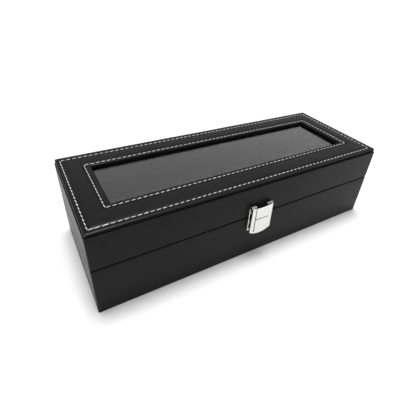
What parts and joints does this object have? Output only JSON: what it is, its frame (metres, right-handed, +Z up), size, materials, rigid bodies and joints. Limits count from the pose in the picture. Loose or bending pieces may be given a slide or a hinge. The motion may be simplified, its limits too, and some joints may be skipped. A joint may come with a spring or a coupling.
{
  "type": "watch display case",
  "caption": "Low black leatherette watch case with a hinged glazed lid, stitched padded top frame, lift-out cushions in divided compartments and a chrome flap clasp.",
  "frame": {"origin": "centre of the underside, on the felt that the case stands on", "axes": "+Z up through the glass, +X along the long side to the right seen from the clasp, -Y towards the clasp at the front"},
  "size_m": [0.3, 0.1169, 0.0812],
  "materials": {
    "board": "raw medium-density fibreboard",
    "black_board": "fibreboard stained black",
    "black_leatherette": "smooth fine-grained synthetic leather, satin",
    "padded_leatherette": "fine-grained synthetic leather over thin foam, satin",
    "velvet_lining": "short-pile black velvet on card",
    "cushion_velvet": "short-pile black velvet over foam",
    "felt": "thin black felt",
    "thread": "off-white polyester thread",
    "foam": "thin polyether foam",
    "black_card": "black-dyed card",
    "grey_board": "grey bookbinder's board",
    "glass": "clear float glass",
    "chrome": "polished chrome plate",
    "nickel_steel": "nickel-plated steel"
  },
  "bodies": {
    "base": {"base_front_board": "board", "base_back_board": "board", "base_left_board": "board", "base_right_board": "board", "base_bottom_board": "board", "base_leather_wrap": "black_leatherette", "base_underside_felt": "felt", "base_lining_front": "velvet_lining", "base_lining_back": "velvet_lining", "base_lining_left": "velvet_lining", "base_lining_right": "velvet_lining", "base_lining_floor": "velvet_lining", "divider_1": "velvet_lining", "divider_2": "velvet_lining", "divider_3": "velvet_lining", "divider_4": "velvet_lining", "divider_5": "velvet_lining", "hinge_left_base_leaf": "nickel_steel", "hinge_right_base_leaf": "nickel_steel", "hinge_left_pin": "nickel_steel", "hinge_right_pin": "nickel_steel", "hinge_screws_base": "nickel_steel", "clasp_keeper_plate": "chrome", "clasp_keeper_tacks": "chrome"},
    "lid": {"lid_front_board": "black_board", "lid_back_board": "black_board", "lid_left_board": "black_board", "lid_right_board": "black_board", "lid_top_rail_front": "black_board", "lid_top_rail_back": "black_board", "lid_top_rail_left": "black_board", "lid_top_rail_right": "black_board", "lid_leather_wrap": "black_leatherette", "glass_pane": "glass", "window_spacer_frame": "black_card", "top_frame_board": "grey_board", "top_frame_padding": "foam", "top_frame_leather": "padded_leatherette", "stitching_outer": "thread", "stitching_inner": "thread", "lid_lining_front": "velvet_lining", "lid_lining_back": "velvet_lining", "lid_lining_left": "velvet_lining", "lid_lining_right": "velvet_lining", "lid_lining_top": "velvet_lining", "hinge_left_lid_leaf": "nickel_steel", "hinge_right_lid_leaf": "nickel_steel", "hinge_screws_lid": "nickel_steel", "clasp_hinge_plate": "chrome", "clasp_hinge_tacks": "chrome", "clasp_pin_left": "nickel_steel", "clasp_pin_right": "nickel_steel"},
    "clasp_flap": {"clasp_flap": "chrome"},
    "pillow_1": {"pillow_1": "cushion_velvet"},
    "pillow_2": {"pillow_2": "cushion_velvet"},
    "pillow_3": {"pillow_3": "cushion_velvet"},
    "pillow_4": {"pillow_4": "cushion_velvet"},
    "pillow_5": {"pillow_5": "cushion_velvet"},
    "pillow_6": {"pillow_6": "cushion_velvet"}
  },
  "joints": [
    {"name": "lid_hinge", "type": "hinge", "parent": "base", "child": "lid", "pos_m": [0, 0.0534, 0.0465], "axis": [-1, 0, 0], "range_deg": [0, 95]},
    {"name": "clasp_hinge", "type": "hinge", "parent": "lid", "child": "clasp_flap", "pos_m": [-0.001, -0.0581, 0.0583], "axis": [-1, 0, 0], "range_deg": [0, 105]},
    {"name": "pillow_1_lift", "type": "slide", "parent": "base", "child": "pillow_1", "axis": [0, 0, 1], "range_m": [0, 0.016]},
    {"name": "pillow_2_lift", "type": "slide", "parent": "base", "child": "pillow_2", "axis": [0, 0, 1], "range_m": [0, 0.016]},
    {"name": "pillow_3_lift", "type": "slide", "parent": "base", "child": "pillow_3", "axis": [0, 0, 1], "range_m": [0, 0.016]},
    {"name": "pillow_4_lift", "type": "slide", "parent": "base", "child": "pillow_4", "axis": [0, 0, 1], "range_m": [0, 0.016]},
    {"name": "pillow_5_lift", "type": "slide", "parent": "base", "child": "pillow_5", "axis": [0, 0, 1], "range_m": [0, 0.016]},
    {"name": "pillow_6_lift", "type": "slide", "parent": "base", "child": "pillow_6", "axis": [0, 0, 1], "range_m": [0, 0.016]}
  ]
}
